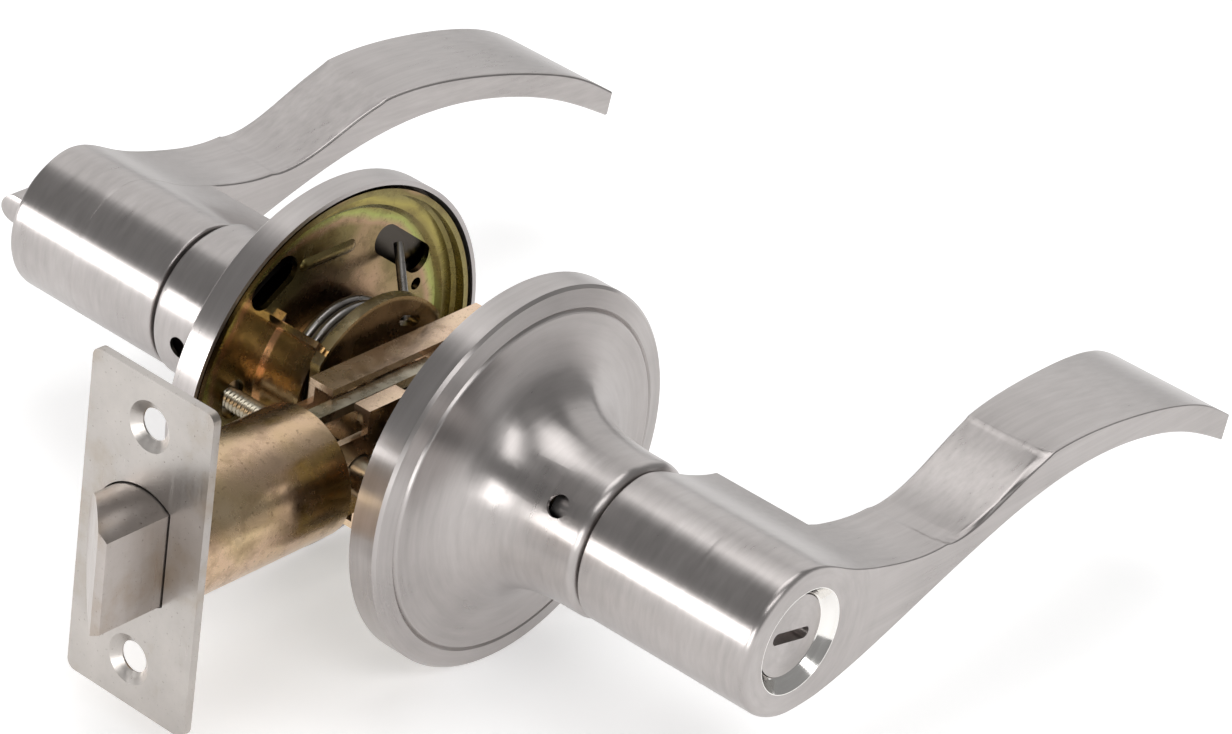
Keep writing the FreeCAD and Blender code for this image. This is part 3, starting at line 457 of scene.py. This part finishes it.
def make_lever(side):
    """The whole lever: blade and hub skins, both end faces, the notch wall and the shank."""
    blade_top, blade_low, hub = lever_outline()
    door = curve_table(DOOR_SIDE)
    side_sign = SIDES[side]
    mesh = bmesh.new()
    spots = {}

    def vertex(x, y, z):
        key = (round(x, 4), round(y, 4), round(z, 4))
        if key not in spots:
            spots[key] = mesh.verts.new((x * MM, side_sign * y * MM, z * MM))
        return spots[key]

    def face(*corners):
        distinct = list(dict.fromkeys(corners))
        if len(distinct) > 2 and mesh.faces.get(distinct) is None:
            mesh.faces.new(distinct)

    def skin(columns):
        for one, two in zip(columns, columns[1:]):
            for i in range(len(one) - 1):
                face(one[i], two[i], two[i + 1], one[i + 1])

    def column(spot, normal, back, front_radius, back_radius, scoop, levels=26):
        (x, z), (nx, nz) = spot, normal
        run = []
        for inset, depth in ring_levels(front_radius):
            run.append((x - nx * inset, FRONT - depth, z - nz * inset))
        first = FRONT - front_radius
        last = back + back_radius
        shares = [(i / levels) ** 1.5 for i in range(1, levels)]
        run += [(x, first + (last - first) * s, z) for s in shares]
        for inset, depth in reversed(ring_levels(back_radius)):
            run.append((x - nx * inset, back + depth, z - nz * inset))
        if scoop:
            run = [(px, py, pz - scoop_drop(px, FRONT - py)) for px, py, pz in run]
        return run

    def blade_column(spot, normal, scoop):
        fade = min(1.0, (spot[0] - CORNER) / 2.0)
        return column(spot, normal, at(door, spot[0]), EDGE, DOOR_EDGE + 0.45 * fade, scoop)

    top_normals = outward(blade_top)
    low_normals = -outward(blade_low)
    top_columns = [blade_column(p, n, True) for p, n in zip(blade_top, top_normals)]
    low_columns = [blade_column(p, n, False) for p, n in zip(blade_low, low_normals)]
    tip = [[tuple(between(a, b, k)) for a, b in zip(top_columns[-1], low_columns[-1])]
           for k in range(ACROSS + 1)]
    for columns in (top_columns, tip, low_columns[::-1]):
        skin([[vertex(*p) for p in c] for c in columns])
    for level in (0, -1):
        rows = []
        for a, b in zip(top_columns, low_columns):
            rows.append([vertex(*between(a[level], b[level], k)) for k in range(ACROSS + 1)])
        skin(rows)

    hub_columns = []
    for spot, normal in zip(hub, outward(hub)):
        soft = min(1.0, max(0.0, (6.0 - spot[0]) / 12.0))
        fade = min(1.0, max(0.0, (CORNER - spot[0]) / 2.0))
        run = column(spot, normal, at(door, CORNER), EDGE + 0.9 * soft, DOOR_EDGE, False)
        radius = 0.05 + 0.3 * fade
        tail = [(spot[0], at(door, CORNER) * (1 - s) + (HUB_BACK + radius) * s, spot[1])
                for s in np.linspace(0, 1, 9)[1:]]
        tail += [(spot[0] - normal[0] * i, HUB_BACK + d, spot[1] - normal[1] * i)
                 for i, d in reversed(ring_levels(radius))]
        hub_columns.append((run, tail))
    hub_columns[0] = (low_columns[0], hub_columns[0][1])
    hub_columns[-1] = (top_columns[0], hub_columns[-1][1])
    skin([[vertex(*p) for p in run + tail] for run, tail in hub_columns])

    wall_top = top_columns[0][-1:] + hub_columns[-1][1]
    wall_low = low_columns[0][-1:] + hub_columns[0][1]
    skin([[vertex(*between(a, b, k)) for k in range(ACROSS + 1)] for a, b in zip(wall_top, wall_low)])

    def ring(radius, y, parts=96):
        return [(radius * math.cos(2 * math.pi * i / parts), y, radius * math.sin(2 * math.pi * i / parts))
                for i in range(parts)]

    def pierced(outline, hole):
        flat = [[Vector((p[0], p[2], 0)) for p in outline], [Vector((p[0], p[2], 0)) for p in hole]]
        every = [*outline, *hole]
        for triangle in tessellate_polygon(flat):
            face(*(vertex(*every[i]) for i in triangle))

    def tube(rings):
        for one, two in zip(rings, rings[1:]):
            for i in range(len(one)):
                j = (i + 1) % len(one)
                face(vertex(*one[i]), vertex(*one[j]), vertex(*two[j]), vertex(*two[i]))

    def rung(a, b):
        return [tuple(between(a, b, k)) for k in range(1, ACROSS)]

    well_floor = FRONT - WELL_DEPTH
    well = [(WELL_RADIUS, well_floor), (STEM_RADIUS, well_floor)]
    flare = [(MOUTH_RADIUS, FRONT), (WELL_RADIUS, FRONT - (MOUTH_RADIUS - WELL_RADIUS))]
    mouth = (flare if side == "outside" else [(WELL_RADIUS, FRONT)]) + well
    front_loop = [run[0] for run, _ in hub_columns] + rung(top_columns[0][0], low_columns[0][0])
    pierced(front_loop, ring(*mouth[0]))
    tube([ring(*m) for m in mouth])
    back_loop = [tail[-1] for _, tail in hub_columns] + rung(wall_top[-1], wall_low[-1])
    pierced(back_loop, ring(*SHANK[0]))
    tube([ring(*m) for m in SHANK + [(STEM_RADIUS, well_floor)]])
    bmesh.ops.recalc_face_normals(mesh, faces=mesh.faces)
    data = bpy.data.meshes.new(side + "_lever_cast")
    mesh.to_mesh(data)
    mesh.free()
    for polygon in data.polygons:
        polygon.use_smooth = True
    data.set_sharp_from_angle(angle=math.radians(30))
    lever = bpy.data.objects.new(side + "_lever_cast", data)
    bpy.context.scene.collection.objects.link(lever)
    weighted = lever.modifiers.new("weighted", "WEIGHTED_NORMAL")
    weighted.keep_sharp = True
    weighted.weight = 80
    paint(lever, "lever")
    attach(lever, side + "_handle")
    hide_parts(side + "_lever")


for side in SIDES:
    make_lever(side)


# Small pieces: rolled screw threads and the liners' pressed ribs, in millimetres until the mesh is made

POST_X = 19.4
THREAD = {"root": 1.5, "crest": 1.9, "pitch": 0.8}
SCREW_ENDS = (-4.5, 22.0)
SCREW_HEAD = [(4.6, 22.0), (4.6, 22.5), (3.3, 22.5), (3.1, 23.1), (2.4, 23.2), (0.0, 23.2)]


def grid_mesh(name, rows):
    """A closed mesh over rows of spots, each row a loop, with a flat face at each end."""
    data = bpy.data.meshes.new(name)
    count = len(rows[0])
    spots = [tuple(v * MM for v in spot) for row in rows for spot in row]
    faces = []
    for r in range(len(rows) - 1):
        for i in range(count):
            j = (i + 1) % count
            faces.append((r * count + i, r * count + j, (r + 1) * count + j, (r + 1) * count + i))
    faces.append(tuple(range(count))[::-1])
    faces.append(tuple(range((len(rows) - 1) * count, len(rows) * count)))
    data.from_pydata(spots, [], faces)
    data.update()
    mesh = bmesh.new()
    mesh.from_mesh(data)
    bmesh.ops.recalc_face_normals(mesh, faces=mesh.faces)
    mesh.to_mesh(data)
    mesh.free()
    for polygon in data.polygons:
        polygon.use_smooth = True
    data.set_sharp_from_angle(angle=math.radians(40))
    thing = bpy.data.objects.new(name, data)
    bpy.context.scene.collection.objects.link(thing)
    return thing


def make_screw(name, x, parts=28, per_pitch=8):
    low, high = SCREW_ENDS
    count = int((high - low) / THREAD["pitch"] * per_pitch)
    rows = []
    for r in range(count + 1):
        y = low + (high - low) * r / count
        row = []
        for i in range(parts):
            share = (y / THREAD["pitch"] - i / parts) % 1.0
            lift = 1 - abs(2 * share - 1)
            radius = THREAD["root"] + (THREAD["crest"] - THREAD["root"]) * lift
            turn = 2 * math.pi * i / parts
            row.append((x + radius * math.cos(turn), y, radius * math.sin(turn)))
        rows.append(row)
    for radius, y in SCREW_HEAD:
        rows.append([(x + max(radius, 0.05) * math.cos(2 * math.pi * i / parts), y,
                      max(radius, 0.05) * math.sin(2 * math.pi * i / parts)) for i in range(parts)])
    screw = grid_mesh(name, rows)
    paint(screw, "zinc_bright")
    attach(screw, "chassis")
    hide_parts("mounting_screws")


RIB_ENDS = (-5.7, 4.4)
RIB_Z = 19.6
RIB_HALF = 1.3
RIB_RISE = 0.6
LINER_FLOOR = 21.0


def make_rib(side, parts=40, levels=6):
    """The pressed rib beside the coils, a long low dome on the liner's inner face."""
    rows = []
    for level in range(levels + 1):
        share = 1 - level / levels * 0.96
        y = SIDES[side] * (LINER_FLOOR + 0.1 - (RIB_RISE + 0.1) * (1 - share ** 2))
        row = []
        for i in range(parts):
            turn = 2 * math.pi * i / parts
            middle = RIB_ENDS[1] if math.cos(turn) > 0 else RIB_ENDS[0]
            reach = RIB_HALF * share
            row.append((middle + reach * math.cos(turn), y, RIB_Z + reach * math.sin(turn)))
        rows.append(row)
    rib = grid_mesh(side + "_liner_rib", rows)
    paint(rib, "zinc_rings")
    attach(rib, "chassis")


make_screw("left_screw", -POST_X)
make_screw("right_screw", POST_X)
for side in SIDES:
    make_rib(side)


# Studio


def make_camera():
    back = Vector((math.sin(VIEW_TURN) * math.cos(VIEW_RISE), -math.cos(VIEW_TURN) * math.cos(VIEW_RISE),
                   math.sin(VIEW_RISE)))
    level = Vector((math.cos(VIEW_TURN), math.sin(VIEW_TURN), 0.0))
    upward = back.cross(level)
    right = level * math.cos(VIEW_ROLL) + upward * math.sin(VIEW_ROLL)
    above = upward * math.cos(VIEW_ROLL) - level * math.sin(VIEW_ROLL)
    data = bpy.data.cameras.new("camera")
    data.lens = VIEW_LENS
    data.sensor_width = 36.0
    data.clip_start = 0.01
    camera = bpy.data.objects.new("camera", data)
    turn = Matrix((right, above, back)).transposed()
    camera.matrix_world = Matrix.Translation(VIEW_SPOT) @ turn.to_4x4()
    bpy.context.scene.collection.objects.link(camera)
    bpy.context.scene.camera = camera


CENTRE = Vector((0.02, 0.0, 0.0))
LIGHTS = [  # name, spot, width, height, power
    ("key", (-0.45, -1.00, 1.05), 0.9, 0.35, 4.0),
    ("low", (-1.10, 0.70, 0.14), 0.7, 0.36, 7.5),
    ("back", (0.95, 0.72, 0.70), 2.2, 1.3, 7.0),
    ("top", (0.10, 0.10, 1.25), 0.8, 0.8, 4.5),
    ("front", (-1.20, -0.55, 0.20), 0.8, 0.5, 5.5),
]
FLOOR_GAP = 0.0005
WORLD_STRENGTH = 0.28


def area_light(name, spot, width, height, power):
    data = bpy.data.lights.new(name, "AREA")
    data.shape = "RECTANGLE"
    data.size = width
    data.size_y = height
    data.energy = power
    light = bpy.data.objects.new(name, data)
    light.location = Vector(spot)
    light.rotation_euler = (CENTRE - Vector(spot)).to_track_quat("-Z", "Y").to_euler()
    bpy.context.scene.collection.objects.link(light)


def make_studio():
    bpy.ops.mesh.primitive_plane_add(size=8.0, location=(0.0, 0.0, CAD_BOX[0][2] - FLOOR_GAP))
    floor = bpy.context.object
    floor.name = "floor"
    s = Surface("studio_floor", metallic=0.0)
    tone = s.noise(s.spot, 3.0, 2.0)
    s.finish(s.ramp(tone, [(0.3, (0.93, 0.93, 0.93)), (0.7, (0.96, 0.96, 0.96))]), 0.75,
             Emission_Color=(1.0, 1.0, 1.0, 1.0), Emission_Strength=0.38)
    floor.data.materials.append(s.material)
    world = bpy.data.worlds.new("studio")
    world.use_nodes = True
    world.node_tree.nodes["Background"].inputs["Color"].default_value = (1.0, 1.0, 1.0, 1.0)
    world.node_tree.nodes["Background"].inputs["Strength"].default_value = WORLD_STRENGTH
    bpy.context.scene.world = world
    bpy.context.scene.view_settings.view_transform = "Standard"
    for light in LIGHTS:
        area_light(*light)


make_camera()
make_studio()
